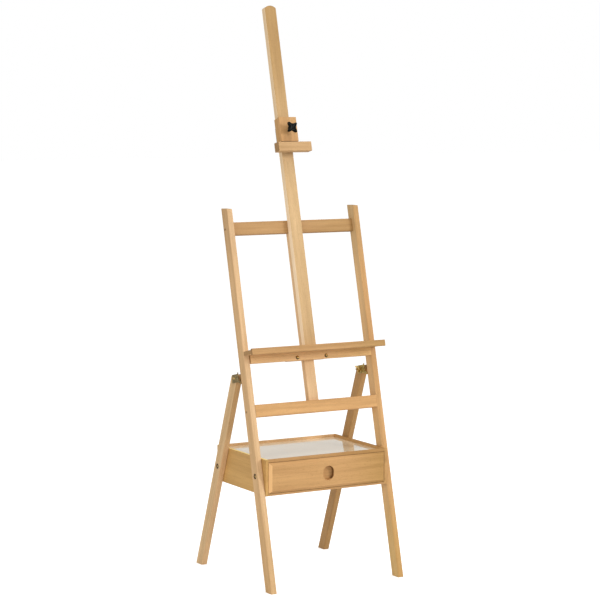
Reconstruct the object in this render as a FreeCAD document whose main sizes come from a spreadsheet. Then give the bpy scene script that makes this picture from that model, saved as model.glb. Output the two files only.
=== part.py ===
"""Studio easel: an inclined front frame, two hinged rear legs and a drawer cabinet.

World frame in millimetres: X to the right, -Y towards the painter, Z up, ground at Z = 0,
origin at the middle of the footprint. Two slanted frames are used as well:
  stile frame: +Z runs up the front uprights, -Y is their front face's outward normal
  leg frame:   +Z runs up the rear legs, -Y is their front face's outward normal
"""
import math
import os

import FreeCAD
import Part
import Sketcher
from FreeCAD import Placement, Rotation, Vector

DOC = FreeCAD.newDocument("easel")

# ---------------------------------------------------------------- driving dimensions
DIMS = {
    # whole easel
    "footprint_depth": 550.0,
    "frame_width": 530.0,
    "stile_lean": 14.0,
    "leg_lean": 20.5,
    "edge_round": 2.5,
    # front uprights and rear legs
    "timber_wide": 22.0,
    "timber_deep": 40.0,
    "stile_long": 1340.0,
    "stile_top": 1281.0,
    "leg_long": 753.0,
    "pivot_up": 743.5,
    "pivot_in": 16.0,
    # front frame: mast and apron sit in its front layer, the centre rail in its rear layer
    "front_layer": 18.0,
    "rear_layer": 22.0,
    "top_bar_low": 1232.0,
    "top_bar_high": 45.0,
    "low_bar_low": 600.0,
    "low_bar_high": 42.0,
    "low_bar_deep": 40.0,
    "low_screw_in": 29.0,
    "rail_wide": 40.0,
    "rail_low": 642.0,
    "slot_wide": 7.0,
    "slot_low": 827.0,
    "slot_high": 1196.0,
    # mast
    "mast_wide": 46.0,
    "mast_deep": 22.0,
    "mast_low": 824.0,
    "mast_high": 2044.0,
    "mast_gap": 0.2,
    "mast_knob_up": 829.0,
    "mast_pin_up": 894.0,
    # canvas tray
    "tray_long": 532.0,
    "apron_long": 484.0,
    "apron_low": 783.0,
    "apron_high": 39.0,
    "shelf_thick": 14.0,
    "shelf_deep": 52.0,
    "shelf_low": 811.0,
    "lip_thick": 10.0,
    "lip_high": 22.0,
    "lip_low": 806.5,
    "clamp_long": 150.0,
    "clamp_high": 26.0,
    "clamp_thick": 14.0,
    "tray_bolt_out": 58.0,
    "tray_bolt_up": 792.5,
    # canvas holder on the mast
    "holder_wide": 70.0,
    "ledge_low": 1508.0,
    "holder_low": 1519.0,
    "holder_high": 116.0,
    "holder_plate": 14.0,
    "cheek_deep": 21.0,
    "cheek_wide": 11.7,
    "ledge_long": 131.0,
    "ledge_high": 33.0,
    "ledge_deep": 31.0,
    "strap_thick": 1.5,
    "strap_high": 60.0,
    "strap_low": 1540.0,
    "holder_knob_up": 1593.0,
    # cabinet and drawer
    "case_wide": 485.0,
    "case_front": -195.0,
    "case_deep": 350.0,
    "case_low": 319.0,
    "case_high": 125.0,
    "case_wall": 10.0,
    "top_rail_high": 10.0,
    "sill_high": 7.0,
    "floor_thick": 4.0,
    "panel_thick": 4.0,
    "panel_drop": 9.0,
    "case_bolt_up": 65.0,
    "rear_bolt_up": 57.0,
    "case_bolt_sink": 3.0,
    "drawer_gap": 1.5,
    "drawer_front_thick": 18.0,
    "drawer_bevel": 9.0,
    "drawer_wall": 9.0,
    "drawer_wall_high": 84.0,
    "drawer_long": 318.0,
    "pull_across": 42.0,
    "pull_straight": 8.0,
    "pull_deep": 14.0,
    # hardware
    "bolt_across": 6.0,
    "bolt_hole": 6.4,
    "fit_hole": 6.1,
    "screw_across": 4.5,
    "screw_head": 8.0,
    "screw_hole": 4.9,
    "sink_across": 9.0,
    "case_sink": 20.0,
    "bracket_sheet": 2.0,
    "bracket_inner": 22.6,
    "ear_low": 719.0,
}

sheet = DOC.addObject("Spreadsheet::Sheet", "dims")
sheet.Label = "dims"
for row, (word, number) in enumerate(DIMS.items(), start=1):
    sheet.set(f"A{row}", word)
    sheet.set(f"B{row}", str(number))
    sheet.setAlias(f"B{row}", word)
DOC.recompute()


class Size:
    """Read a driving dimension as a plain number: S.frame_width."""

    def __getattr__(self, word):
        return DIMS[word]


S = Size()
LEAN = math.radians(S.stile_lean)
HALF_W = S.frame_width / 2
STILE_IN = HALF_W - S.timber_wide
FRONT_Y = -S.footprint_depth / 2
LEG_Y = S.footprint_depth / 2 - S.timber_deep / math.cos(math.radians(S.leg_lean))

X_AXIS = Vector(1, 0, 0)
Y_AXIS = Vector(0, 1, 0)
STILE = Placement(Vector(0, FRONT_Y, 0), Rotation(X_AXIS, -S.stile_lean))
LEG = Placement(Vector(0, LEG_Y, 0), Rotation(X_AXIS, S.leg_lean))
WORLD = Placement()

# ways a cylinder can point, from its default +Z
ALONG_X = Rotation(Y_AXIS, 90)
ALONG_Y = Rotation(X_AXIS, -90)
ALONG_Z = Rotation()

nodes = []


# ---------------------------------------------------------------- small builders
def bind(obj, **sizes):
    """Bind each size property to a spreadsheet expression, or set it to a number."""
    for prop, value in sizes.items():
        if isinstance(value, str):
            obj.setExpression(prop, value)
        else:
            setattr(obj, prop, value)


def box(x, y, z, length, width, height):
    """A block with its low corner at x, y, z."""
    part = DOC.addObject("Part::Box", "block")
    bind(part, Length=length, Width=width, Height=height)
    part.Placement = Placement(Vector(x, y, z), Rotation())
    return part


def cylinder(x, y, z, radius, height, turn=ALONG_Z):
    """A round bar that starts at x, y, z and runs the way `turn` points."""
    part = DOC.addObject("Part::Cylinder", "round")
    bind(part, Radius=radius, Height=height)
    part.Placement = Placement(Vector(x, y, z), turn)
    return part


def dome(x, y, z, base, rise, turn=ALONG_Z):
    """A spherical cap of base radius `base` whose flat side is at x, y, z."""
    ball = (base * base + rise * rise) / (2 * rise)
    drop = ball - rise
    part = DOC.addObject("Part::Sphere", "cap")
    bind(part, Radius=ball, Angle1=math.degrees(math.asin(drop / ball)))
    part.Placement = Placement(Vector(x, y, z) - turn.multVec(Vector(0, 0, drop)), turn)
    return part


def fuse(*parts):
    """Join touching solids into one."""
    joined = DOC.addObject("Part::MultiFuse", "joined")
    joined.Shapes = list(parts)
    joined.Refine = True
    return joined


def drill(base, *tools):
    """Take the tools away from the base."""
    cut = DOC.addObject("Part::Cut", "drilled")
    cut.Base = base
    cut.Tool = tools[0] if len(tools) == 1 else fuse(*tools)
    return cut


def node(label, part, frame=WORLD):
    """Name a finished piece and stand it in its frame."""
    part.Label = label
    part.Placement = frame.multiply(part.Placement)
    nodes.append(part)
    return part


def bar(x, y, z, length, width, height, grain, rounded=True):
    """A timber bar: a sketched section padded along its grain, long edges rounded.

    x, y, z is the low corner. `grain` is "x" or "z".
    """
    body = DOC.addObject("PartDesign::Body", "bar")
    sketch = body.newObject("Sketcher::SketchObject", "section")
    role = "YZ_Plane" if grain == "x" else "XY_Plane"
    plane = [p for p in body.Origin.OriginFeatures if p.Role == role][0]
    sketch.AttachmentSupport = [(plane, "")]
    sketch.MapMode = "FlatFace"
    across, up, along = (width, height, length) if grain == "x" else (length, width, height)
    corners = [Vector(0, 0, 0), Vector(10, 0, 0), Vector(10, 10, 0), Vector(0, 10, 0)]
    for i in range(4):
        sketch.addGeometry(Part.LineSegment(corners[i], corners[(i + 1) % 4]), False)
    for i in range(4):
        sketch.addConstraint(Sketcher.Constraint("Coincident", i, 2, (i + 1) % 4, 1))
    for i, way in enumerate(("Horizontal", "Vertical", "Horizontal", "Vertical")):
        sketch.addConstraint(Sketcher.Constraint(way, i))
    sketch.addConstraint(Sketcher.Constraint("Coincident", 0, 1, -1, 1))
    for name, edge, size in (("across", 0, across), ("up", 1, up)):
        index = sketch.addConstraint(Sketcher.Constraint("Distance", edge, 10.0))
        sketch.renameConstraint(index, name)
        sketch.setExpression(f"Constraints.{name}", size)
    pad = body.newObject("PartDesign::Pad", "pad")
    pad.Profile = sketch
    pad.setExpression("Length", along)
    sketch.Visibility = False
    body.Tip = pad
    if rounded:
        DOC.recompute()
        way = 0 if grain == "x" else 2
        long_edges = []
        for i, edge in enumerate(pad.Shape.Edges, start=1):
            ends = [vertex.Point for vertex in edge.Vertexes]
            if abs(ends[0][way] - ends[1][way]) > 1.0:
                long_edges.append(f"Edge{i}")
        fillet = body.newObject("PartDesign::Fillet", "rounding")
        fillet.Base = (pad, long_edges)
        fillet.setExpression("Radius", "dims.edge_round")
        body.Tip = fillet
    body.Placement = Placement(Vector(x, y, z), Rotation())
    return body


def profile(points, thickness, x=0.0):
    """A side profile of (y, z) points padded along X by an expression."""
    body = DOC.addObject("PartDesign::Body", "profile")
    sketch = body.newObject("Sketcher::SketchObject", "outline")
    plane = [p for p in body.Origin.OriginFeatures if p.Role == "YZ_Plane"][0]
    sketch.AttachmentSupport = [(plane, "")]
    sketch.MapMode = "FlatFace"
    count = len(points)
    for i in range(count):
        start = Vector(*points[i], 0)
        end = Vector(*points[(i + 1) % count], 0)
        sketch.addGeometry(Part.LineSegment(start, end), False)
    for i in range(count):
        sketch.addConstraint(Sketcher.Constraint("Coincident", i, 2, (i + 1) % count, 1))
        sketch.addConstraint(Sketcher.Constraint("Block", i))
    pad = body.newObject("PartDesign::Pad", "pad")
    pad.Profile = sketch
    pad.setExpression("Length", thickness)
    body.Tip = pad
    body.Placement = Placement(Vector(x, 0, 0), Rotation())
    return body


# ---------------------------------------------------------------- shared hardware
def case_bolt_spot(which):
    """Where a cabinet bolt crosses its upright, as (y, z) in that upright's own frame."""
    middle = S.timber_deep / 2
    height = S.case_low + (S.case_bolt_up if which == "stile" else S.rear_bolt_up)
    if which == "stile":
        return middle, height / math.cos(LEAN) + middle * math.tan(LEAN)
    slant = math.radians(S.leg_lean)
    return middle, height / math.cos(slant) - middle * math.tan(slant)


def inward_turn(side):
    """Turn that points a cylinder from outside the easel towards its middle."""
    return ALONG_X if side < 0 else Rotation(Y_AXIS, -90)


def countersunk(side, y, z, sink, shank, deep):
    """Counterbore and through hole entering a side piece from its outer face."""
    turn = inward_turn(side)
    start = side * (HALF_W + 5)
    return [
        cylinder(start, y, z, f"{sink} / 2", deep + 5.0, turn),
        cylinder(start, y, z, f"{shank} / 2", 40.0, turn),
    ]


def level_cut(frame, x, y, z):
    """A world-level block, centred on y with its low face at z, that trims a slanted end."""
    block = DOC.addObject("Part::Box", "level_block")
    bind(block, Length="dims.timber_wide + 20", Width=300.0, Height=80.0)
    spot = Placement(Vector(x - 10, y - 150, z), Rotation())
    block.Placement = frame.inverse().multiply(spot)
    return block


def side_screw(label, side, y, z):
    """A wood screw sunk in a stile's outer face and driven into a crossbar's end."""
    turn = inward_turn(side)
    seat = side * (HALF_W - 6.0)
    head = cylinder(seat + side * 3.0, y, z, "dims.screw_head / 2", 3.0, turn)
    shank = cylinder(seat, y, z, "dims.screw_across / 2", 46.0, turn)
    socket = cylinder(seat + side * 4.0, y, z, 1.6, 2.5, turn)
    node(label, drill(fuse(head, shank), socket), STILE)


def case_bolt(label, side, spot, frame, long):
    """A flanged furniture bolt with a domed middle, seated in the counterbore of an upright."""
    turn = inward_turn(side)
    y, z = spot
    seat = side * (HALF_W - S.case_bolt_sink)
    head = cylinder(seat + side * 1.5, y, z, 9.0, 1.5, turn)
    cap = dome(seat + side * 1.5, y, z, 4.2, 1.4, inward_turn(-side))
    shank = cylinder(seat, y, z, "dims.bolt_across / 2", long, turn)
    node(label, fuse(head, cap, shank), frame)


def wing_nut(label, spot, turn, frame):
    """A brass wing nut whose flat face sits at `spot`, opening along `turn`."""
    base = cylinder(0, 0, 0, 6.0, 6.0)
    collar = cylinder(0, 0, 5.0, 4.8, 3.0)
    wings = []
    for way in (-1, 1):
        wing = cylinder(way * 9.5, 1.3, 7.5, 6.0, 2.6, Rotation(X_AXIS, 90))
        wings.append(wing)
    bore = cylinder(0, 0, -1, "dims.fit_hole / 2", 20.0)
    nut = drill(fuse(base, collar, *wings), bore)
    nut.Placement = Placement(Vector(*spot), turn)
    node(label, nut, frame)


def star_knob(label, spot, turn, frame, reach):
    """A four-pronged clamping knob with a hub; `spot` is the hub's face nearest the wood."""
    hub = cylinder(0, 0, 0, min(8.5, 0.4 * reach), 12.0)
    core = cylinder(0, 0, 10.0, 0.54 * reach, 12.0)
    tip = 0.2 * reach
    prongs = []
    for degrees in (39, 129, 219, 309):
        angle = math.radians(degrees)
        middle = reach - tip
        prongs.append(cylinder(middle * math.cos(angle), middle * math.sin(angle), 10.0, tip, 12.0))
        arm = box(0, -tip, 0, middle, 2 * tip, 12.0)
        swing = Placement(Vector(0, 0, 10), Rotation(Vector(0, 0, 1), degrees))
        arm.Placement = swing.multiply(arm.Placement)
        prongs.append(arm)
    bore = cylinder(0, 0, -1, "dims.bolt_across / 2", 21.0)
    knob = drill(fuse(hub, core, *prongs), bore)
    knob.Placement = Placement(Vector(*spot), turn)
    node(label, knob, frame)


# ---------------------------------------------------------------- front frame
TOP_Y = S.front_layer + S.rear_layer / 2
TOP_Z = S.top_bar_low + S.top_bar_high / 2
LOW_Y = S.low_screw_in
LOW_Z = S.low_bar_low + S.low_bar_high / 2

for word, side in (("left", -1), ("right", 1)):
    inner = -HALF_W if side < 0 else STILE_IN
    wood = bar(inner, 0, -20, "dims.timber_wide", "dims.timber_deep", "dims.stile_long + 20", "z")
    top_y = FRONT_Y + S.stile_top * math.tan(LEAN)
    tools = [level_cut(STILE, inner, FRONT_Y, -80.0), level_cut(STILE, inner, top_y, S.stile_top)]
    tools += countersunk(side, TOP_Y, TOP_Z, "dims.sink_across", "dims.screw_hole", 6.0)
    tools += countersunk(side, LOW_Y, LOW_Z, "dims.sink_across", "dims.screw_hole", 6.0)
    tools += countersunk(side, *case_bolt_spot("stile"), "dims.case_sink", "dims.bolt_hole",
                         S.case_bolt_sink)
    node(f"{word}_stile", drill(wood, *tools), STILE)
    side_screw(f"{word}_top_screw", side, TOP_Y, TOP_Z)
    side_screw(f"{word}_low_screw", side, LOW_Y, LOW_Z)


def crossbar(label, y, z, deep, high, hole_y, hole_z):
    """A bar between the uprights with a pilot hole for the side screw in each end."""
    wood = bar(-STILE_IN, y, z, "dims.frame_width - 2 * dims.timber_wide", deep, high, "x")
    holes = []
    for side in (-1, 1):
        hole = cylinder(side * HALF_W, hole_y, hole_z, "dims.screw_hole / 2", 55.0, inward_turn(side))
        holes.append(hole)
    node(label, drill(wood, *holes), STILE)


crossbar("top_crossbar", S.front_layer, S.top_bar_low, "dims.rear_layer", "dims.top_bar_high",
         TOP_Y, TOP_Z)
crossbar("lower_crossbar", 0, S.low_bar_low, "dims.low_bar_deep", "dims.low_bar_high", LOW_Y, LOW_Z)

# centre rail, slotted behind the mast
rail = bar(-S.rail_wide / 2, S.front_layer, S.rail_low, "dims.rail_wide", "dims.rear_layer",
           "dims.top_bar_low - dims.rail_low", "z")
slot = box(-S.slot_wide / 2, S.front_layer - 5, S.slot_low, "dims.slot_wide", "dims.rear_layer + 10",
           "dims.slot_high - dims.slot_low")
slot_ends = [cylinder(0, S.front_layer - 5, z, "dims.slot_wide / 2", "dims.rear_layer + 10", ALONG_Y)
             for z in (S.slot_low, S.slot_high)]
node("centre_rail", drill(rail, slot, *slot_ends), STILE)


# ---------------------------------------------------------------- mast and its clamp
MAST_Y = S.front_layer - S.mast_gap - S.mast_deep
MAST_BACK = MAST_Y + S.mast_deep
RAIL_BACK = S.front_layer + S.rear_layer

mast_wood = bar(-S.mast_wide / 2, MAST_Y, S.mast_low, "dims.mast_wide", "dims.mast_deep",
                "dims.mast_high - dims.mast_low", "z")
crown = box(-S.mast_wide, MAST_Y - 5, S.mast_high - 14, 2 * S.mast_wide, 40.0, 40.0)
crown_keep = cylinder(0, MAST_Y - 10, S.mast_high - 30, 30.0, 50.0, ALONG_Y)
insert_hole = cylinder(0, MAST_BACK - 14, S.mast_knob_up, 5.0, 20.0, ALONG_Y)
pin_hole = cylinder(0, MAST_BACK - 12, S.mast_pin_up, 3.0, 20.0, ALONG_Y)
node("mast", drill(mast_wood, drill(crown, crown_keep), insert_hole, pin_hole), STILE)

insert = cylinder(0, MAST_BACK - 14, S.mast_knob_up, 5.0, 14.0, ALONG_Y)
insert_bore = cylinder(0, MAST_BACK - 15, S.mast_knob_up, "dims.fit_hole / 2", 20.0, ALONG_Y)
node("mast_insert", drill(insert, insert_bore), STILE)
node("mast_guide_pin", cylinder(0, MAST_BACK - 12, S.mast_pin_up, 3.0, 28.0, ALONG_Y), STILE)

# the clamp stud runs through the rail's slot and turns with its knob
stud = cylinder(0, MAST_BACK - 12, S.mast_knob_up, "dims.bolt_across / 2", 56.0, ALONG_Y)
washer = cylinder(0, RAIL_BACK + 0.3, S.mast_knob_up, 9.0, 1.5, ALONG_Y)
node("mast_clamp_stud", fuse(stud, washer), STILE)
star_knob("mast_clamp_knob", (0, RAIL_BACK + 1.8, S.mast_knob_up), ALONG_Y, STILE, 17.0)


# ---------------------------------------------------------------- canvas tray
CLAMP_Y = RAIL_BACK + S.mast_gap
NUT_Y = CLAMP_Y + S.clamp_thick
BOLTS = [(side * S.tray_bolt_out, word) for word, side in (("left", -1), ("right", 1))]

apron = bar(-S.apron_long / 2, MAST_Y, S.apron_low, "dims.apron_long", "dims.mast_deep",
            "dims.apron_high", "x")
clamp = bar(-S.clamp_long / 2, CLAMP_Y, S.apron_low + 2, "dims.clamp_long", "dims.clamp_thick",
            "dims.clamp_high", "x")
for label, wood in (("tray_apron", apron), ("tray_clamp_plate", clamp)):
    holes = [cylinder(x, -20, S.tray_bolt_up, "dims.bolt_hole / 2", 120.0, ALONG_Y) for x, word in BOLTS]
    node(label, drill(wood, *holes), STILE)

SHELF_Y = MAST_Y - S.shelf_deep
node("tray_shelf", bar(-S.tray_long / 2, SHELF_Y, S.shelf_low, "dims.tray_long", "dims.shelf_deep",
                       "dims.shelf_thick", "x"), STILE)
node("tray_lip", bar(-S.tray_long / 2, SHELF_Y - S.lip_thick, S.lip_low, "dims.tray_long",
                     "dims.lip_thick", "dims.lip_high", "x"), STILE)

for x, word in BOLTS:
    cap = dome(x, MAST_Y, S.tray_bolt_up, 6.8, 3.4, Rotation(X_AXIS, 90))
    shank = cylinder(x, MAST_Y, S.tray_bolt_up, "dims.bolt_across / 2", 75.0, ALONG_Y)
    node(f"tray_{word}_bolt", fuse(cap, shank), STILE)
    wing_nut(f"tray_{word}_wing_nut", (x, NUT_Y + 0.3, S.tray_bolt_up), ALONG_Y, STILE)


# ---------------------------------------------------------------- canvas holder
PLATE_BACK = MAST_Y - 14.0
PLATE_Y = PLATE_BACK - S.holder_plate
CHEEK_IN = S.holder_wide / 2 - S.cheek_wide

plate = bar(-S.holder_wide / 2, PLATE_Y, S.holder_low, "dims.holder_wide", "dims.holder_plate",
            "dims.holder_high", "z")
plate_hole = cylinder(0, PLATE_Y - 5, S.holder_knob_up, 5.0, 30.0, ALONG_Y)
groove = box(-50, PLATE_Y - 5, S.ledge_low + S.ledge_high + 3, 100.0, 11.0, 5.0)
node("holder_front_plate", drill(plate, plate_hole, groove), STILE)
holder_insert = cylinder(0, PLATE_Y, S.holder_knob_up, 5.0, "dims.holder_plate", ALONG_Y)
holder_bore = cylinder(0, PLATE_Y - 5, S.holder_knob_up, "dims.fit_hole / 2", 30.0, ALONG_Y)
node("holder_insert", drill(holder_insert, holder_bore), STILE)

STRAP_MID = S.strap_low + S.strap_high / 2
SCREW_X = CHEEK_IN + S.cheek_wide / 2
for word, side in (("left", -1), ("right", 1)):
    inner = CHEEK_IN if side > 0 else -CHEEK_IN - S.cheek_wide
    cheek = bar(inner, PLATE_BACK, S.holder_low, "dims.cheek_wide", "dims.cheek_deep",
                "dims.holder_high - 3", "z")
    hole = cylinder(side * SCREW_X, PLATE_BACK + 2, STRAP_MID, "dims.screw_hole / 2", 30.0, ALONG_Y)
    node(f"holder_{word}_cheek", drill(cheek, hole), STILE)

node("holder_ledge", bar(-S.ledge_long / 2, PLATE_Y - S.ledge_deep, S.ledge_low, "dims.ledge_long",
                         "dims.ledge_deep", "dims.ledge_high", "x"), STILE)

# steel strap that passes behind the mast and is screwed to the cheeks
CHEEK_BACK = PLATE_BACK + S.cheek_deep
strap_back = MAST_BACK + 0.15 - CHEEK_BACK
strap_out = CHEEK_IN + 1.3
flange = box(-S.holder_wide / 2 + 1, CHEEK_BACK, S.strap_low, "dims.holder_wide - 2",
             "dims.strap_thick", "dims.strap_high")
hoop = box(-CHEEK_IN - 1.3, CHEEK_BACK, S.strap_low, 2 * strap_out, strap_back + 1.5, "dims.strap_high")
inside = box(-CHEEK_IN + 0.2, CHEEK_BACK - 5, S.strap_low - 5, 2 * (CHEEK_IN - 0.2), strap_back + 5,
             "dims.strap_high + 10")
strap_holes = [cylinder(side * SCREW_X, CHEEK_BACK - 5, STRAP_MID, "dims.screw_hole / 2", 12.0, ALONG_Y)
               for side in (-1, 1)]
node("holder_strap", drill(fuse(flange, hoop), inside, *strap_holes), STILE)
for word, side in (("left", -1), ("right", 1)):
    seat = CHEEK_BACK + S.strap_thick
    head = dome(side * SCREW_X, seat, STRAP_MID, 4.0, 2.2, ALONG_Y)
    shank = cylinder(side * SCREW_X, seat - 14, STRAP_MID, "dims.screw_across / 2", 14.0, ALONG_Y)
    node(f"holder_{word}_screw", fuse(head, shank), STILE)

# the holder knob drives its stud and a pressure disc onto the mast
stud = cylinder(0, PLATE_Y - 24, S.holder_knob_up, "dims.bolt_across / 2", 47.0, ALONG_Y)
pad = cylinder(0, MAST_Y - 5.3, S.holder_knob_up, 9.0, 5.0, ALONG_Y)
node("holder_stud", fuse(stud, pad), STILE)
star_knob("holder_knob", (0, PLATE_Y - 9, S.holder_knob_up), Rotation(X_AXIS, 90), STILE, 22.5)


# ---------------------------------------------------------------- rear legs and hinges
PIVOT = LEG.multVec(Vector(0, S.pivot_in, S.pivot_up))
HINGE = STILE.inverse().multVec(PIVOT)

for word, side in (("left", -1), ("right", 1)):
    inner = -HALF_W if side < 0 else STILE_IN
    wood = bar(inner, 0, -20, "dims.timber_wide", "dims.timber_deep", "dims.leg_long + 20", "z")
    pivot_hole = cylinder(inner - 5, S.pivot_in, S.pivot_up, "dims.fit_hole / 2",
                          "dims.timber_wide + 10", ALONG_X)
    # the top is rounded so that it turns freely between the bracket's ears
    half = S.timber_deep / 2
    crown = box(inner - 5, -5, S.leg_long - half, S.timber_wide + 10, S.timber_deep + 10, half + 5)
    crown_keep = cylinder(inner - 6, half, S.leg_long - half, half, S.timber_wide + 12, ALONG_X)
    tools = [level_cut(LEG, inner, LEG_Y, -80.0), pivot_hole, drill(crown, crown_keep)]
    tools += countersunk(side, *case_bolt_spot("leg"), "dims.case_sink", "dims.bolt_hole",
                         S.case_bolt_sink)
    node(f"{word}_rear_leg", drill(wood, *tools), LEG)
    case_bolt(f"{word}_rear_case_bolt", side, case_bolt_spot("leg"), LEG, 18.8)
    case_bolt(f"{word}_front_case_bolt", side, case_bolt_spot("stile"), STILE, 28.0)

# folded steel bracket: a short base on the back of the stile and two ears beside the leg
BACK = S.timber_deep
EAR = [
    (BACK, S.ear_low + 1), (BACK, S.ear_low + 9), (BACK + 11, S.ear_low + 13),
    (BACK + 12, S.ear_low + 44), (BACK + 18.5, S.ear_low + 38), (BACK + 56, S.ear_low + 39),
    (BACK + 60, S.ear_low + 10), (BACK + 15, S.ear_low + 9), (BACK + 2, S.ear_low + 1),
]
for word, side in (("left", -1), ("right", 1)):
    centre = side * (HALF_W - S.timber_wide / 2)
    outer = S.bracket_inner / 2 + S.bracket_sheet
    folded = profile(EAR, "dims.bracket_inner + 2 * dims.bracket_sheet", centre - outer)
    gap = box(centre - S.bracket_inner / 2, BACK + S.bracket_sheet, S.ear_low - 40,
              "dims.bracket_inner", 80.0, 120.0)
    bore = cylinder(centre - 30, HINGE.y, HINGE.z, "dims.bolt_across / 2", 60.0, ALONG_X)
    node(f"{word}_hinge_bracket", drill(folded, gap, bore), STILE)

    turn = inward_turn(side)
    seat = centre + side * outer
    shank = cylinder(seat, HINGE.y, HINGE.z, "dims.bolt_across / 2", 42.0, turn)
    cap = dome(seat, HINGE.y, HINGE.z, 5.0, 3.0, inward_turn(-side))
    node(f"{word}_pivot_bolt", fuse(shank, cap), STILE)
    nut_x = centre - side * (outer + 0.3)
    spin = turn.multiply(Rotation(Vector(0, 0, 1), 90 - side * 59))
    wing_nut(f"{word}_hinge_wing_nut", (nut_x, HINGE.y, HINGE.z), spin, STILE)


# ---------------------------------------------------------------- cabinet
CASE_X = S.case_wide / 2
CASE_BACK = S.case_front + S.case_deep
INSIDE = "dims.case_wide - 2 * dims.case_wall"
ACROSS = "dims.case_wall"

for word, side in (("left", -1), ("right", 1)):
    inner = -CASE_X if side < 0 else CASE_X - S.case_wall
    board = bar(inner, S.case_front, S.case_low, "dims.case_wall", "dims.case_deep", "dims.case_high",
                "z", rounded=False)
    front = STILE.multVec(Vector(0, *case_bolt_spot("stile")))
    rear = LEG.multVec(Vector(0, *case_bolt_spot("leg")))
    start = side * (CASE_X + 5)
    holes = [
        cylinder(start, front.y, front.z, "dims.bolt_hole / 2", 30.0, inward_turn(side)),
        cylinder(start, rear.y, rear.z, 5.0, 30.0, inward_turn(side)),
    ]
    node(f"cabinet_{word}_side", drill(board, *holes))
    sleeve = cylinder(side * CASE_X, rear.y, rear.z, 5.0, "dims.case_wall", inward_turn(side))
    thread = cylinder(start, rear.y, rear.z, "dims.fit_hole / 2", 30.0, inward_turn(side))
    node(f"cabinet_{word}_insert", drill(sleeve, thread))

FLOOR_Z = S.case_low + S.sill_high
PANEL_Z = S.case_low + S.case_high - S.panel_drop - S.panel_thick
RAIL_Z = S.case_low + S.case_high - S.top_rail_high
IN_X = CASE_X - S.case_wall
node("cabinet_back", box(-IN_X, CASE_BACK - S.case_wall, S.case_low, INSIDE, ACROSS, "dims.case_high"))
node("cabinet_front_rail", box(-IN_X, S.case_front, RAIL_Z, INSIDE, ACROSS, "dims.top_rail_high"))
node("cabinet_sill", box(-IN_X, S.case_front, S.case_low, INSIDE, ACROSS, "dims.sill_high"))
node("cabinet_floor", box(-IN_X, S.case_front + S.case_wall, FLOOR_Z - S.floor_thick, INSIDE,
                          "dims.case_deep - 2 * dims.case_wall", "dims.floor_thick"))
node("cabinet_top_panel", box(-IN_X, S.case_front + S.case_wall, PANEL_Z, INSIDE,
                              "dims.case_deep - 2 * dims.case_wall", "dims.panel_thick"))


# ---------------------------------------------------------------- drawer
FRONT_X = IN_X - S.drawer_gap
FRONT_LOW = FLOOR_Z + S.drawer_gap
FRONT_HIGH = RAIL_Z - FRONT_LOW - S.drawer_gap
FRONT_Y0 = S.case_front - S.drawer_bevel
DRAWER_Y = FRONT_Y0 + S.drawer_front_thick
DRAWER_Z = FLOOR_Z + 0.5
WALL_X = FRONT_X - 2.0

front = DOC.addObject("Part::Box", "front")
bind(front, Length=2 * FRONT_X, Width="dims.drawer_front_thick", Height=FRONT_HIGH)
front.Placement = Placement(Vector(-FRONT_X, FRONT_Y0, FRONT_LOW), Rotation())
DOC.recompute()
raised = DOC.addObject("Part::Chamfer", "raised")
raised.Base = front
rim_edges = []
for i, edge in enumerate(front.Shape.Edges, start=1):
    if max(vertex.Point.y for vertex in edge.Vertexes) < FRONT_Y0 + 1:
        rim_edges.append((i, S.drawer_bevel, S.drawer_bevel))
raised.Edges = rim_edges
PULL_Z = FRONT_LOW + FRONT_HIGH / 2
pull = [cylinder(0, FRONT_Y0 - 5, PULL_Z + way * S.pull_straight / 2, "dims.pull_across / 2",
                 "dims.pull_deep + 5", ALONG_Y) for way in (-1, 1)]
pull.append(box(-S.pull_across / 2, FRONT_Y0 - 5, PULL_Z - S.pull_straight / 2, "dims.pull_across",
                "dims.pull_deep + 5", "dims.pull_straight"))
node("drawer_front", drill(raised, *pull))

for word, side in (("left", -1), ("right", 1)):
    x = -WALL_X if side < 0 else WALL_X - S.drawer_wall
    node(f"drawer_{word}_side", box(x, DRAWER_Y, DRAWER_Z, "dims.drawer_wall", "dims.drawer_long",
                                    "dims.drawer_wall_high"))
BETWEEN = 2 * (WALL_X - S.drawer_wall)
node("drawer_back", box(-BETWEEN / 2, DRAWER_Y + S.drawer_long - S.drawer_wall, DRAWER_Z, BETWEEN,
                        "dims.drawer_wall", "dims.drawer_wall_high - 6"))
node("drawer_bottom", box(-BETWEEN / 2, DRAWER_Y, DRAWER_Z, BETWEEN,
                          "dims.drawer_long - dims.drawer_wall", "dims.floor_thick"))

# ---------------------------------------------------------------- check and export
DOC.recompute()
for obj in DOC.Objects:
    if "Invalid" in obj.State or "Error" in obj.State:
        raise RuntimeError(f"{obj.Name} ({obj.Label}) is {obj.State}")
for part in nodes:
    if part.Shape.isNull() or not part.Shape.isValid():
        raise RuntimeError(f"{part.Label} has no valid shape")
    if len(part.Shape.Solids) != 1:
        raise RuntimeError(f"{part.Label} has {len(part.Shape.Solids)} solids")

os.makedirs("parts", exist_ok=True)
for part in nodes:
    part.Shape.exportStep(f"parts/{part.Label}.step")
print(len(nodes), "pieces")
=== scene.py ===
"""Looks for a wooden studio easel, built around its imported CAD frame."""
import math

import bmesh
import bpy
from mathutils import Matrix, Vector


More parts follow.
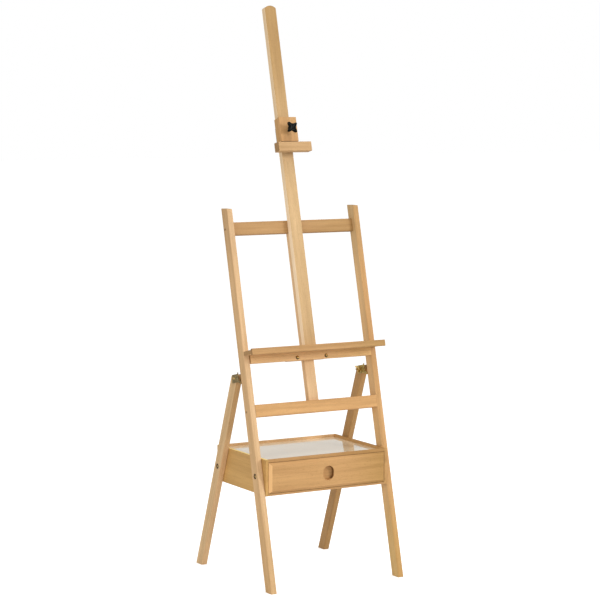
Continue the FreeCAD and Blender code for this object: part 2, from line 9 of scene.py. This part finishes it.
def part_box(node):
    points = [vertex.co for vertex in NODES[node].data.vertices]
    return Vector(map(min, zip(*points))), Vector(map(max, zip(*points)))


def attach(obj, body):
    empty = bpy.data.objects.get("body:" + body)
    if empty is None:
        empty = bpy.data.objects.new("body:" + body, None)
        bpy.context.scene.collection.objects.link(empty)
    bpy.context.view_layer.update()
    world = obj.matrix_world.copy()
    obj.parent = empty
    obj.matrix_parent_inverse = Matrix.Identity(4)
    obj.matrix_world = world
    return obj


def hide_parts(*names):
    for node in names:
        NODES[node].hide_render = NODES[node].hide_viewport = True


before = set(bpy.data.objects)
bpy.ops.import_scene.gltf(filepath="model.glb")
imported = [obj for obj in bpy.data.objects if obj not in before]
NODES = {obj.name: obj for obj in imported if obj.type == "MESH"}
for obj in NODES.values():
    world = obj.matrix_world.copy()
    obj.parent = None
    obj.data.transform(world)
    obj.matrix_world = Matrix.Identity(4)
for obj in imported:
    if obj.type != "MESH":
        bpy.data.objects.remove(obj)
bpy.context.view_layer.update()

# ---------------------------------------------------------------- directions and frames
LEAN = math.radians(14.0)       # of the front frame, backward
LEG_LEAN = math.radians(20.5)   # of the rear legs, forward
FRONT_Y = -0.275                # the front edge of the uprights' feet
STILE = Matrix.Translation((0, FRONT_Y, 0)) @ Matrix.Rotation(-LEAN, 4, "X")
TO_STILE = STILE.inverted()
SQUARE = math.radians(90)
LEFTWARD = (-1.0, 0.0, 0.0)
UPWARD = (0.0, 0.0, 1.0)
SIDEWAYS = Vector((1, 0, 0))
STILE_DEPTH = STILE.to_3x3() @ Vector((0, 1, 0))

# a turn that brings a board's grain onto +X of the texture
GRAIN_TURN = {
    "x": Matrix.Identity(3),
    "y": Matrix.Rotation(-SQUARE, 3, "Z"),
    "stile": Matrix.Rotation(SQUARE, 3, "Y") @ Matrix.Rotation(LEAN, 3, "X"),
    "leg": Matrix.Rotation(SQUARE, 3, "Y") @ Matrix.Rotation(-LEG_LEAN, 3, "X"),
    "across": Matrix.Rotation(LEAN, 3, "X"),
}


# ---------------------------------------------------------------- colours
def rgb(red, green, blue):
    """An 8-bit display colour as a linear RGBA tuple."""
    out = []
    for value in (red, green, blue):
        value /= 255.0
        out.append(value / 12.92 if value <= 0.04045 else ((value + 0.055) / 1.055) ** 2.4)
    return (*out, 1.0)


def shaded(colour, tone):
    """A display colour scaled by a brightness factor."""
    return rgb(*(min(255.0, channel * tone) for channel in colour))


def leaned(colour, tone, warmth):
    """A display colour made darker or lighter, and warmer (its blue falls) or cooler."""
    red, green, blue = colour
    green_share = 0.35
    turned = (red * tone, green * tone * (1 - green_share * warmth), blue * tone * (1 - warmth))
    return rgb(*(min(255.0, channel) for channel in turned))


# ---------------------------------------------------------------- node helpers
class Graph:
    """A material's node tree with short helpers."""

    def __init__(self, name):
        self.material = bpy.data.materials.new(name)
        self.material.use_nodes = True
        self.tree = self.material.node_tree
        self.tree.nodes.clear()
        self.out = self.tree.nodes.new("ShaderNodeOutputMaterial")
        self.shader = self.tree.nodes.new("ShaderNodeBsdfPrincipled")
        self.link(self.shader.outputs[0], self.out.inputs["Surface"])

    def link(self, source, target):
        self.tree.links.new(source, target)

    def feed(self, socket, value):
        """Link a socket to another one, or give it a plain value; None leaves it alone."""
        if isinstance(value, bpy.types.NodeSocket):
            self.link(value, socket)
        elif value is not None:
            socket.default_value = value

    def math(self, operation, a, b=None, c=None):
        node = self.tree.nodes.new("ShaderNodeMath")
        node.operation = operation
        for socket, value in zip(node.inputs, (a, b, c)):
            self.feed(socket, value)
        return node.outputs[0]

    def vector(self, operation, a, b=None):
        node = self.tree.nodes.new("ShaderNodeVectorMath")
        node.operation = operation
        self.feed(node.inputs[0], a)
        self.feed(node.inputs[1], b)
        return node.outputs["Value" if operation in ("LENGTH", "DOT_PRODUCT") else "Vector"]

    def mapping(self, vector, turn=(0, 0, 0), shift=(0, 0, 0), scale=(1, 1, 1)):
        node = self.tree.nodes.new("ShaderNodeMapping")
        self.feed(node.inputs["Vector"], vector)
        node.inputs["Rotation"].default_value = turn
        node.inputs["Location"].default_value = shift
        node.inputs["Scale"].default_value = scale
        return node.outputs[0]

    def noise(self, vector, scale, detail, rough):
        node = self.tree.nodes.new("ShaderNodeTexNoise")
        self.feed(node.inputs["Vector"], vector)
        node.inputs["Scale"].default_value = scale
        node.inputs["Detail"].default_value = detail
        node.inputs["Roughness"].default_value = rough
        return node.outputs["Fac"]

    def pattern(self, along, stretch, detail, rough):
        """Noise with its own scale along and across the grain."""
        return self.noise(self.mapping(along, scale=stretch), 1.0, detail, rough)

    def ramp(self, value, stops):
        node = self.tree.nodes.new("ShaderNodeValToRGB")
        self.feed(node.inputs[0], value)
        elements = node.color_ramp.elements
        while len(elements) < len(stops):
            elements.new(0.5)
        for element, (spot, colour) in zip(elements, stops):
            element.position = spot
            element.color = colour
        return node.outputs["Color"]

    def grade(self, value, low, high, to_low=0.0, to_high=1.0):
        """A smooth step from to_low at `low` to to_high at `high`."""
        node = self.tree.nodes.new("ShaderNodeMapRange")
        node.interpolation_type = "SMOOTHSTEP"
        for socket, number in zip(node.inputs[1:5], (low, high, to_low, to_high)):
            socket.default_value = number
        self.feed(node.inputs[0], value)
        return node.outputs[0]

    def mix(self, amount, a, b, blend="MIX"):
        node = self.tree.nodes.new("ShaderNodeMix")
        node.data_type = "RGBA"
        node.blend_type = blend
        self.feed(node.inputs[0], amount)
        self.feed(node.inputs[6], a)
        self.feed(node.inputs[7], b)
        return node.outputs[2]

    def tinted(self, amount, colour, tint):
        """The colour, multiplied by a linear tint where `amount` is 1."""
        return self.mix(amount, colour, self.mix(1.0, colour, (*tint, 1.0), "MULTIPLY"))

    def both(self, a, b):
        return self.math("MULTIPLY", a, b)

    def but_not(self, a, b):
        return self.math("MULTIPLY", a, self.math("SUBTRACT", 1.0, b))

    def bump(self, height, strength, distance):
        node = self.tree.nodes.new("ShaderNodeBump")
        node.inputs["Strength"].default_value = strength
        node.inputs["Distance"].default_value = distance
        self.feed(node.inputs["Height"], height)
        return node.outputs[0]

    def place(self):
        return self.tree.nodes.new("ShaderNodeTexCoord").outputs["Object"]

    def coordinate(self, axis):
        node = self.tree.nodes.new("ShaderNodeSeparateXYZ")
        self.feed(node.inputs[0], self.place())
        return node.outputs[axis]

    def slope(self, way):
        """How far the surface faces one way, from -1 to 1."""
        normal = self.tree.nodes.new("ShaderNodeTexCoord").outputs["Normal"]
        return self.vector("DOT_PRODUCT", normal, way)

    def set(self, **values):
        for word, value in values.items():
            self.feed(self.shader.inputs[word.replace("_", " ")], value)


def dress(name, *materials):
    """Give a CAD node these materials, and no others."""
    slots = NODES[name].data.materials
    slots.clear()
    for material in materials:
        slots.append(material)


# ---------------------------------------------------------------- wood
PALE = (222, 184, 138)
HONEY = (206, 165, 115)
STRAW = (206, 170, 121)
AMBER = (200, 154, 100)
TAN = (187, 145, 92)
OCHRE = (188, 147, 88)
BARE = (228, 196, 152)
# the mast's left face painted near white as painted light, in these two shades along its streaks
LIT_FACE_PALE = (252, 226, 190)
LIT_FACE_DEEP = (240, 212, 172)
WOODS = {
    # node: (grain, colour, tone, figure)
    "left_stile": ("stile", PALE, 1.00, 1.0),
    "right_stile": ("stile", AMBER, 1.00, 1.0),
    "top_crossbar": ("across", AMBER, 0.90, 1.0),
    "lower_crossbar": ("across", AMBER, 1.04, 1.0),
    "centre_rail": ("stile", PALE, 1.00, 1.0),
    "mast": ("stile", STRAW, 0.97, 1.0),
    "tray_apron": ("across", HONEY, 1.08, 1.0),
    "tray_clamp_plate": ("across", HONEY, 1.00, 1.0),
    "tray_shelf": ("across", HONEY, 0.98, 1.0),
    "tray_lip": ("across", AMBER, 0.94, 1.0),
    "holder_front_plate": ("stile", AMBER, 0.98, 0.8),
    "holder_left_cheek": ("stile", TAN, 1.00, 0.8),
    "holder_right_cheek": ("stile", TAN, 1.00, 0.8),
    "holder_ledge": ("across", HONEY, 0.94, 0.8),
    "left_rear_leg": ("leg", PALE, 1.02, 1.0),
    "right_rear_leg": ("leg", TAN, 0.95, 1.0),
    "cabinet_left_side": ("y", OCHRE, 1.06, 0.5),
    "cabinet_right_side": ("y", TAN, 1.05, 0.5),
    "cabinet_back": ("x", PALE, 1.04, 0.6),
    "cabinet_front_rail": ("x", AMBER, 0.98, 0.6),
    "cabinet_sill": ("x", AMBER, 0.96, 0.6),
    "drawer_front": ("x", AMBER, 1.00, 0.8),
    "drawer_left_side": ("y", BARE, 1.0, 0.8),
    "drawer_right_side": ("y", BARE, 1.0, 0.8),
    "drawer_back": ("x", BARE, 1.0, 0.8),
    "cabinet_floor": ("x", HONEY, 1.0, 0.5),
    "drawer_bottom": ("x", BARE, 1.0, 0.5),
}
# painted shade along boards, standing in for light falloff: darker towards the right, towards
# the tops of the mast and stiles and towards the stiles' feet, and on the left rear leg's top
# front where the stile shades it: (axis, where it starts, where it is full, linear tint)
PAINTED_SHADE_DRIFT = {
    "mast": ((2, 1.46, 1.82, (0.73, 0.67, 0.54)),),
    "left_stile": ((2, 0.36, 0.10, (0.87, 0.84, 0.76)), (2, 1.02, 1.20, (0.87, 0.86, 0.85))),
    "right_stile": ((2, 0.36, 0.10, (0.93, 0.96, 0.83)), (2, 1.02, 1.20, (0.89, 0.92, 0.92))),
    "left_rear_leg": ((2, 0.38, 0.57, (0.62, 0.58, 0.50)),),
    "drawer_front": ((0, 0.03, 0.26, (0.80, 0.80, 0.64)),),
    "cabinet_front_rail": ((0, -0.05, 0.15, (0.83, 0.81, 0.70)),),
    "tray_apron": ((0, 0.00, 0.25, (0.94, 0.95, 0.82)),),
    "tray_lip": ((0, 0.05, 0.25, (0.87, 0.89, 0.77)),),
    "top_crossbar": ((0, 0.00, 0.20, (0.94, 0.95, 0.88)),),
}
# of these, the left face is spared the painted shade
PAINTED_SHADE_SPARES_LEFT = ("mast", "left_rear_leg")
# boards with one face painted lighter or darker for how the light falls on it: painted shade on
# the left faces of the left stile and left rear leg and on the right cabinet side's top, painted
# light on the right stile's left face, and a painted highlight on the left cabinet side's top:
# (which way it faces, linear tint)
PAINTED_FACE_LIGHT_AND_SHADE = {
    "left_stile": (LEFTWARD, (0.92, 0.89, 0.82)),
    "right_stile": (LEFTWARD, (1.15, 1.31, 1.52)),
    "left_rear_leg": (LEFTWARD, (0.86, 0.87, 0.83)),
    "cabinet_left_side": (UPWARD, (1.60, 2.10, 2.20)),
    "cabinet_right_side": (UPWARD, (0.80, 0.76, 0.62)),
}
FACING = (0.45, 0.80)            # slopes between which a face's painted light and shade come in
CHAMFER_FACING = (0.50, 0.68)    # the same for the drawer front's chamfer
CHAMFER_EDGE = (0.020, 0.030)    # how far the chamfer reaches in from the drawer front's edge
END_FACING = (0.80, 0.97)        # the same for end grain
LIT_FACE_HEIGHT = (1.22, 1.50)        # the mast's painted light on its left face fades between these heights

# noise in the wood: (scale along and across the grain, detail, roughness)
WANDER = ((1.3, 9.0, 9.0), 2.0, 0.5)
BROAD = ((1.6, 26.0, 26.0), 3.0, 0.55)
FIBRE = ((14.0, 420.0, 420.0), 4.0, 0.6)
STREAK = ((5.0, 120.0, 120.0), 3.0, 0.6)
FLECK = ((120.0, 1300.0, 1300.0), 1.0, 0.4)
FLECK_EDGE = (0.62, 0.72)
STREAK_SPAN = (0.2, 0.9)
RING_RATE = 260.0                # radians per metre from the heart
RING_WANDER = 14.0               # radians that a ring strays along the board


def board_shift(seed):
    """Where board number `seed` lies in the log, in metres, so that no two look alike."""
    return (0.37 * seed, 0.043 * (seed % 7) + 0.05, 0.031 * (seed % 5) - 0.07)


def wood_colour(g, base, figure, rings, broad, fibre, streak, fleck):
    """The board's colour from its patterns; `figure` is how strongly they show."""
    value = g.math("MULTIPLY_ADD", rings, 0.06 * figure, g.math("MULTIPLY", broad, 0.50))
    value = g.math("MULTIPLY_ADD", fibre, 0.26, value)
    value = g.math("MULTIPLY_ADD", streak, 0.26 * figure, value)
    centre = 0.38 + 0.16 * figure
    stops = [(centre - 0.22, leaned(base, 1.10, -0.05)), (centre, rgb(*base)),
             (centre + 0.28, leaned(base, 0.84, 0.12))]
    colour = g.ramp(value, stops)
    return g.mix(g.math("MULTIPLY", fleck, 0.34), colour, leaned(base, 0.70, 0.24))


def painted_light_and_end_grain(g, name, grain, base, colour, streak):
    """The board's painted light and shade (darkening along it, one face lighter or darker, the
    mast's pale left face, the drawer front's pale chamfer and dark finger pull) and its darker
    end grain.
    """
    leftward = g.grade(g.slope(LEFTWARD), *FACING)
    # painted light and shade on one face
    if name in PAINTED_FACE_LIGHT_AND_SHADE:
        way, tint = PAINTED_FACE_LIGHT_AND_SHADE[name]
        colour = g.tinted(g.grade(g.slope(way), *FACING), colour, tint)
    # painted shade along the board
    for axis, start, full, tint in PAINTED_SHADE_DRIFT.get(name, ()):
        amount = g.grade(g.coordinate(axis), start, full)
        if name in PAINTED_SHADE_SPARES_LEFT:
            amount = g.but_not(amount, leftward)
        colour = g.tinted(amount, colour, tint)
    if name == "mast":
        # painted light: the mast's left face is turned near white, palest between the tray and
        # the holder
        low = g.grade(g.coordinate(2), *LIT_FACE_HEIGHT, to_low=1.0, to_high=0.45)
        lit_face = g.mix(g.grade(streak, *STREAK_SPAN), rgb(*LIT_FACE_PALE), rgb(*LIT_FACE_DEEP))
        colour = g.mix(g.both(leftward, low), colour, lit_face)
    if name == "drawer_front":
        # painted light: the chamfer at the left is made paler, as if catching the light, and
        # painted shade:
        # the wall of the finger pull that faces left is made darker
        leftward = g.grade(g.slope(LEFTWARD), *CHAMFER_FACING)
        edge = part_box("drawer_front")[0].x
        at_edge = g.grade(g.coordinate(0), *(edge + reach for reach in CHAMFER_EDGE),
                          to_low=1.0, to_high=0.0)
        colour = g.mix(g.both(leftward, at_edge), colour, leaned(base, 1.22, -0.08))
        colour = g.mix(g.but_not(leftward, at_edge), colour, leaned(base, 0.62, 0.20))
    elif not name.startswith("cabinet"):
        run = GRAIN_TURN[grain].inverted() @ SIDEWAYS
        ends = g.grade(g.math("ABSOLUTE", g.slope(tuple(run))), *END_FACING)
        colour = g.mix(g.math("MULTIPLY", ends, 0.85), colour, leaned(base, 0.80, 0.12))
    return colour


def wood(name, seed, grain, base, figure):
    """Oiled beech whose rings and fibres run along one direction, darker on its end grain."""
    g = Graph(f"wood_{name}")
    turn = GRAIN_TURN[grain].to_euler("XYZ")
    along = g.mapping(g.place(), tuple(turn), board_shift(seed))
    # rings round the heart of the log, which stray a little along the board
    wander = g.pattern(along, *WANDER)
    radius = g.vector("LENGTH", g.vector("MULTIPLY", along, (0.0, 1.0, 1.0)))
    phase = g.math("MULTIPLY_ADD", radius, RING_RATE, g.math("MULTIPLY", wander, RING_WANDER))
    rings = g.grade(g.math("SINE", phase), -0.2, 1.0)
    # broad tone changes, fibres and the short dark flecks of beech
    broad = g.pattern(along, *BROAD)
    fibre = g.pattern(along, *FIBRE)
    streak = g.pattern(along, *STREAK)
    fleck = g.grade(g.pattern(along, *FLECK), *FLECK_EDGE)
    colour = wood_colour(g, base, figure, rings, broad, fibre, streak, fleck)
    colour = painted_light_and_end_grain(g, name, grain, base, colour, streak)
    height = g.math("MULTIPLY_ADD", fibre, 0.6, g.math("MULTIPLY", fleck, -0.8))
    height = g.math("MULTIPLY_ADD", rings, 0.25, height)
    g.set(Base_Color=colour, Specular_IOR_Level=0.22,
          Roughness=g.grade(streak, *STREAK_SPAN, to_low=0.50, to_high=0.64),
          Normal=g.bump(height, strength=0.22, distance=0.0004))
    return g.material


for seed, (name, (grain, colour, tone, figure)) in enumerate(WOODS.items(), start=3):
    dress(name, wood(name, seed, grain, [tone * channel for channel in colour], figure))


# ---------------------------------------------------------------- metals, plastic, panel
SPAN = (0.2, 0.8)                # noise values over which a finish goes from end to end
SURFACE = 0.0002                 # height of the finest relief, in metres


def metal(name, colour, rough, metallic=1.0, dark=None):
    """Cast or plated metal, clouded towards `dark`, or towards a shade of its own colour."""
    g = Graph(name)
    place = g.place()
    cloud = g.noise(place, 160.0, 4.0, 0.6)
    fine = g.noise(place, 2400.0, 2.0, 0.5)
    clouded = rgb(*dark) if dark else shaded(colour, 0.82)
    height = g.math("MULTIPLY_ADD", fine, 0.5, cloud)
    g.set(Base_Color=g.mix(g.grade(cloud, 0.35, 0.7), rgb(*colour), clouded),
          Roughness=g.grade(cloud, *SPAN, to_low=rough - 0.06, to_high=rough + 0.1),
          Metallic=metallic, Normal=g.bump(height, strength=0.25, distance=SURFACE))
    return g.material


def plastic(name, colour, rough):
    """Moulded plastic with a faint pebble."""
    g = Graph(name)
    place = g.place()
    pebble = g.noise(place, 2600.0, 3.0, 0.6)
    cloud = g.noise(place, 120.0, 2.0, 0.5)
    g.set(Base_Color=g.mix(cloud, rgb(*colour), shaded(colour, 1.5)),
          Roughness=g.grade(cloud, *SPAN, to_low=rough - 0.05, to_high=rough + 0.08),
          Specular_IOR_Level=0.07, Normal=g.bump(pebble, strength=0.12, distance=SURFACE))
    return g.material


def laminate(name, clean, dusty):
    """Gloss white board: faint orange-peel and a little dust."""
    g = Graph(name)
    place = g.place()
    peel = g.noise(place, 240.0, 2.0, 0.5)
    dust = g.noise(place, 9.0, 4.0, 0.6)
    g.set(Base_Color=g.mix(g.grade(dust, 0.3, 0.8), rgb(*clean), rgb(*dusty)),
          Roughness=g.grade(dust, *SPAN, to_low=0.10, to_high=0.18),
          Coat_Weight=1.0, Coat_Roughness=0.04, Coat_IOR=1.8,
          Normal=g.bump(peel, strength=0.03, distance=SURFACE))
    return g.material


BRASS = metal("brass", (214, 180, 112), 0.26, dark=(158, 130, 76))
ZINC = metal("zinc", (188, 188, 184), 0.32)
BRONZE = metal("bronze", (176, 150, 100), 0.36, metallic=0.85, dark=(104, 92, 58))
GILT = metal("gilt", (222, 192, 112), 0.34, metallic=0.85, dark=(134, 116, 62))
OXIDE = metal("dark_oxide", (70, 48, 26), 0.5, metallic=0.6)
BLACK = plastic("black_plastic", (9, 11, 8), 0.30)
# dark brown painted shade for the groove in the holder's front plate
GROOVE_SHADE = plastic("groove_painted_shade", (96, 64, 36), 0.7)
WHITE = laminate("white_laminate", (255, 240, 209), (252, 233, 200))

for name in NODES:
    if name in WOODS:
        continue
    if name == "cabinet_top_panel":
        finish = WHITE
    elif name.endswith("knob"):
        finish = BLACK
    elif name.endswith("bracket"):
        finish = BRONZE if name.startswith("left") else GILT
    elif name.endswith(("top_screw", "low_screw", "case_bolt")):
        finish = OXIDE
    elif name == "holder_strap" or name.endswith(("screw", "stud", "pin")):
        finish = ZINC
    else:
        finish = BRASS
    dress(name, finish)


def bright_middle(name, axis, reach):
    """A bolt's head: dark oxide as painted shade for the recess round it, and brass within
    `reach` metres of its axis.
    """
    low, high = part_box(name)
    middle = (low + high) / 2
    dress(name, OXIDE, BRASS)
    for polygon in NODES[name].data.polygons:
        away = polygon.center - middle
        away -= axis * away.dot(axis)
        polygon.material_index = 1 if away.length < reach else 0


for word in ("left", "right"):
    for corner in ("front", "rear"):
        bright_middle(f"{word}_{corner}_case_bolt", SIDEWAYS, 0.0043)
    bright_middle(f"tray_{word}_bolt", STILE_DEPTH, 0.0046)

# painted shade: the groove across the holder's front plate is coloured dark brown for the shadow
# in it: its span up the mast, and its depth
GROOVE_UP = (1.5435, 1.5495)
GROOVE_DEEP = (-0.0322 + 0.0005, -0.0322 + 0.0075)
plate = NODES["holder_front_plate"].data
plate.materials.append(GROOVE_SHADE)
for polygon in plate.polygons:
    spot = TO_STILE @ polygon.center
    if GROOVE_UP[0] < spot.z < GROOVE_UP[1] and GROOVE_DEEP[0] < spot.y < GROOVE_DEEP[1]:
        polygon.material_index = 1

# soft arrises, in metres, and smooth shading on the round parts
ARRIS = {"left_stile": 0.003, "right_stile": 0.003, "mast": 0.002}
WOOD_ARRIS = 0.0012
METAL_ARRIS = 0.0004
for name, node in NODES.items():
    bevel = node.modifiers.new("arris", "BEVEL")
    bevel.limit_method = "ANGLE"
    bevel.angle_limit = math.radians(50)
    bevel.width = ARRIS.get(name, WOOD_ARRIS if name in WOODS else METAL_ARRIS)
    bevel.segments = 2
    bevel.harden_normals = False
    for polygon in node.data.polygons:
        polygon.use_smooth = True
    node.data.set_sharp_from_angle(angle=math.radians(35))

# ---------------------------------------------------------------- moulded knobs, cast wing nuts
MM = 0.001


def new_piece(name, body, place, material, shape):
    """Make an object from a bmesh in millimetres in place of the CAD node, and let it ride."""
    bmesh.ops.scale(shape, vec=(MM, MM, MM), verts=shape.verts)
    bmesh.ops.recalc_face_normals(shape, faces=shape.faces)
    mesh = bpy.data.meshes.new(f"{name}_cast")
    shape.to_mesh(mesh)
    shape.free()
    for polygon in mesh.polygons:
        polygon.use_smooth = True
    mesh.set_sharp_from_angle(angle=math.radians(40))
    mesh.materials.append(material)
    piece = bpy.data.objects.new(f"{name}_cast", mesh)
    bpy.context.scene.collection.objects.link(piece)
    piece.matrix_world = place
    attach(piece, body)
    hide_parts(name)


def circle(count):
    """Angles of `count` points round a circle."""
    return [2 * math.pi * i / count for i in range(count)]


def loft(shape, rings):
    """Join closed rings of (x, y, z) points with quads and close both ends with a fan."""
    loops = [[shape.verts.new(point) for point in ring] for ring in rings]
    count = len(loops[0])
    for lower, upper in zip(loops, loops[1:]):
        for i in range(count):
            j = (i + 1) % count
            shape.faces.new((lower[i], lower[j], upper[j], upper[i]))
    for loop in (loops[0], loops[-1]):
        middle = shape.verts.new(sum((v.co for v in loop), Vector()) / count)
        for i in range(count):
            shape.faces.new((loop[i], loop[(i + 1) % count], middle))


def lathe(shape, steps, count=48):
    """A turned solid from (radius, height) steps."""
    angles = circle(count)
    loft(shape, [[(r * math.cos(a), r * math.sin(a), z) for a in angles] for r, z in steps])


PRONGS = (39, 129, 219, 309)     # degrees, off the diagonals by a few
PRONG_WIDTH = 19.0               # degrees
PRONG_BLUNTNESS = 2.2
KNOB_CORE = 0.57                 # of the reach
KNOB_HUB = 0.38                  # of the reach
KNOB_DRAWN = 22.5                # the reach, in millimetres, that the insets are drawn for
# (height, how far the outline is drawn in) from the underside over the rim to the dished top
KNOB_PROFILE = [(10.0, 3.2), (10.5, 1.6), (11.6, 0.5), (13.4, 0.0), (18.4, 0.0), (20.2, 0.5),
                (21.4, 1.6), (22.0, 3.2), (21.9, 5.2), (21.2, 8.0), (20.8, 11.0)]


def prong_radius(angle, reach):
    """Polar outline of a four-pronged knob."""
    core = KNOB_CORE * reach
    off = min(abs((math.degrees(angle) - spot + 180) % 360 - 180) for spot in PRONGS)
    return core + (reach - core) * math.exp(-((off / PRONG_WIDTH) ** PRONG_BLUNTNESS))


def star_knob(name, body, place, reach):
    """A moulded clamping knob: hub below, four rounded prongs, dished top."""
    shape = bmesh.new()
    hub = KNOB_HUB * reach
    lathe(shape, [(hub - 0.6, 0.0), (hub, 0.6), (hub, 3.0), (hub * 0.9, 7.0), (hub * 1.1, 11.0)])
    rings = []
    for height, inset in KNOB_PROFILE:
        ring = []
        for angle in circle(96):
            radius = prong_radius(angle, reach) - inset * reach / KNOB_DRAWN
            ring.append((radius * math.cos(angle), radius * math.sin(angle), height))
        rings.append(ring)
    loft(shape, rings)
    new_piece(name, body, place, BLACK, shape)


# a wing nut's boss, as (radius, height) steps, and the two discs that one wing spans:
# (distance from the axis, height, radius, half its thickness)
NUT_BOSS = [(3.2, 0.0), (6.0, 0.0), (6.3, 0.5), (6.2, 2.2), (5.4, 5.2), (4.9, 7.4), (4.4, 8.2),
            (3.2, 8.3)]
NUT_WING = ((10.4, 8.4, 5.0, 1.1), (5.0, 4.6, 3.4, 1.9))
WING_EDGE = 0.75                 # how far a wing's faces stop short of its edge
WING_EDGE_HALF = 0.45            # thickness of that edge, as a share of the wing's


def wing_nut(name, body, place):
    """A cast wing nut: tapered boss with a rounded rim and two swept wings."""
    shape = bmesh.new()
    lathe(shape, NUT_BOSS)
    for way in (-1, 1):
        spots = []
        for x, z, radius, half in NUT_WING:
            edge_half = half * WING_EDGE_HALF
            for angle in circle(28):
                for y, short in ((half, WING_EDGE), (-half, WING_EDGE),
                                 (edge_half, 0.0), (-edge_half, 0.0)):
                    r = radius - short
                    point = (way * (x + r * math.cos(angle)), y, z + r * math.sin(angle))
                    spots.append(shape.verts.new(point))
        hull = bmesh.ops.convex_hull(shape, input=spots)
        inner = [part for part in hull["geom_interior"] if isinstance(part, bmesh.types.BMVert)]
        bmesh.ops.delete(shape, geom=inner, context="VERTS")
    new_piece(name, body, place, BRASS, shape)


def in_stile(x, y, z, turn):
    """Place in the front frame's slant: position in millimetres, and a turn."""
    return STILE @ Matrix.Translation((x * MM, y * MM, z * MM)) @ turn


FORWARD = Matrix.Rotation(SQUARE, 4, "X")
BACKWARD = Matrix.Rotation(-SQUARE, 4, "X")
star_knob("holder_knob", "holder_clamp", in_stile(0, -41.2, 1593, FORWARD), 23.4)
star_knob("mast_clamp_knob", "mast_clamp", in_stile(0, 41.8, 829, BACKWARD), 17.0)
for word, x in (("left", -58), ("right", 58)):
    wing_nut(f"tray_{word}_wing_nut", f"tray_{word}_nut", in_stile(x, 54.5, 792.5, BACKWARD))

HINGE_NUT_X = 0.254 - 0.0136     # the wing nuts sit against the legs' inner faces
WING_TURN = 59                   # degrees that the wings are turned away from upright
hinge_low, hinge_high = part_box("left_pivot_bolt")
hinge = (hinge_low + hinge_high) / 2
for word, side in (("left", -1), ("right", 1)):
    inward = Matrix.Rotation(-SQUARE * side, 4, "Y")
    spin = Matrix.Rotation(math.radians(90 - WING_TURN * side), 4, "Z")
    spot = Matrix.Translation((side * HINGE_NUT_X, hinge.y, hinge.z))
    place = spot @ Matrix.Rotation(-LEAN, 4, "X") @ inward @ spin
    wing_nut(f"{word}_hinge_wing_nut", f"{word}_hinge_nut", place)


# ---------------------------------------------------------------- stage, light and camera
AMBIENT = 0.60
FLOOR_GLOW = 0.54
FLOOR_GREY = (0.86, 0.86, 0.86, 1.0)
FLOOR_SIZE = 60.0
FLOOR_PLACE = (0, 6.0, -0.0005)  # half a millimetre under the feet
MIDDLE = Vector((0.0, 0.0, 1.0))
# name: (place, side of the square lamp in metres, watts)
LIGHTS = {
    "key": ((3.4, -4.2, 3.0), 1.6, 124),
    "fill": ((-5.0, -2.6, 2.4), 3.0, 70),
    "top": ((0.4, -0.6, 4.6), 3.0, 55),
}
YAW, PITCH, ROLL = (math.radians(v) for v in (-30.208, 5.895, 0.226))
CAMERA_PLACE = (-3.6803, -6.3249, 1.7144)
FOCAL_RATIO = 2106.34 / 600      # focal length over the frame's width, in pixels
SENSOR = 36.0


def only_for_camera(tree, plain, seen):
    """Mix two shaders so that the camera sees `seen` and every other ray meets `plain`."""
    path = tree.nodes.new("ShaderNodeLightPath")
    mix = tree.nodes.new("ShaderNodeMixShader")
    tree.links.new(path.outputs["Is Camera Ray"], mix.inputs[0])
    tree.links.new(plain, mix.inputs[1])
    tree.links.new(seen, mix.inputs[2])
    return mix.outputs[0]


bpy.ops.mesh.primitive_plane_add(size=FLOOR_SIZE, location=FLOOR_PLACE)
floor = bpy.context.object
floor.name = "floor"
g = Graph("floor")
g.set(Base_Color=FLOOR_GREY, Roughness=0.95)
glow = g.tree.nodes.new("ShaderNodeEmission")
glow.inputs["Strength"].default_value = FLOOR_GLOW
lit = g.tree.nodes.new("ShaderNodeAddShader")
g.link(g.shader.outputs[0], lit.inputs[0])
g.link(glow.outputs[0], lit.inputs[1])
g.link(only_for_camera(g.tree, g.shader.outputs[0], lit.outputs[0]), g.out.inputs["Surface"])
floor.data.materials.append(g.material)

for name, (place, size, watts) in LIGHTS.items():
    data = bpy.data.lights.new(name, "AREA")
    data.energy = watts
    data.shape = "RECTANGLE"
    data.size = data.size_y = size
    lamp = bpy.data.objects.new(name, data)
    bpy.context.scene.collection.objects.link(lamp)
    lamp.location = place
    lamp.rotation_euler = (MIDDLE - Vector(place)).to_track_quat("-Z", "Y").to_euler()

world = bpy.data.worlds.new("studio")
world.use_nodes = True
tree = world.node_tree
ambient = tree.nodes["Background"]
ambient.inputs["Strength"].default_value = AMBIENT
backdrop = tree.nodes.new("ShaderNodeBackground")
for node in (ambient, backdrop):
    node.inputs["Color"].default_value = (1, 1, 1, 1)
tree.links.new(only_for_camera(tree, ambient.outputs[0], backdrop.outputs[0]),
               tree.nodes["World Output"].inputs["Surface"])
bpy.context.scene.world = world
bpy.context.scene.view_settings.view_transform = "Standard"

lens = bpy.data.cameras.new("camera")
lens.sensor_width = SENSOR
lens.lens = SENSOR * FOCAL_RATIO
lens.clip_end = 100.0
camera = bpy.data.objects.new("camera", lens)
bpy.context.scene.collection.objects.link(camera)
aim = (Matrix.Rotation(YAW, 3, "Z") @ Matrix.Rotation(math.pi / 2 - PITCH, 3, "X")
       @ Matrix.Rotation(ROLL, 3, "Z"))
camera.matrix_world = Matrix.Translation(CAMERA_PLACE) @ aim.to_4x4()
bpy.context.scene.camera = camera
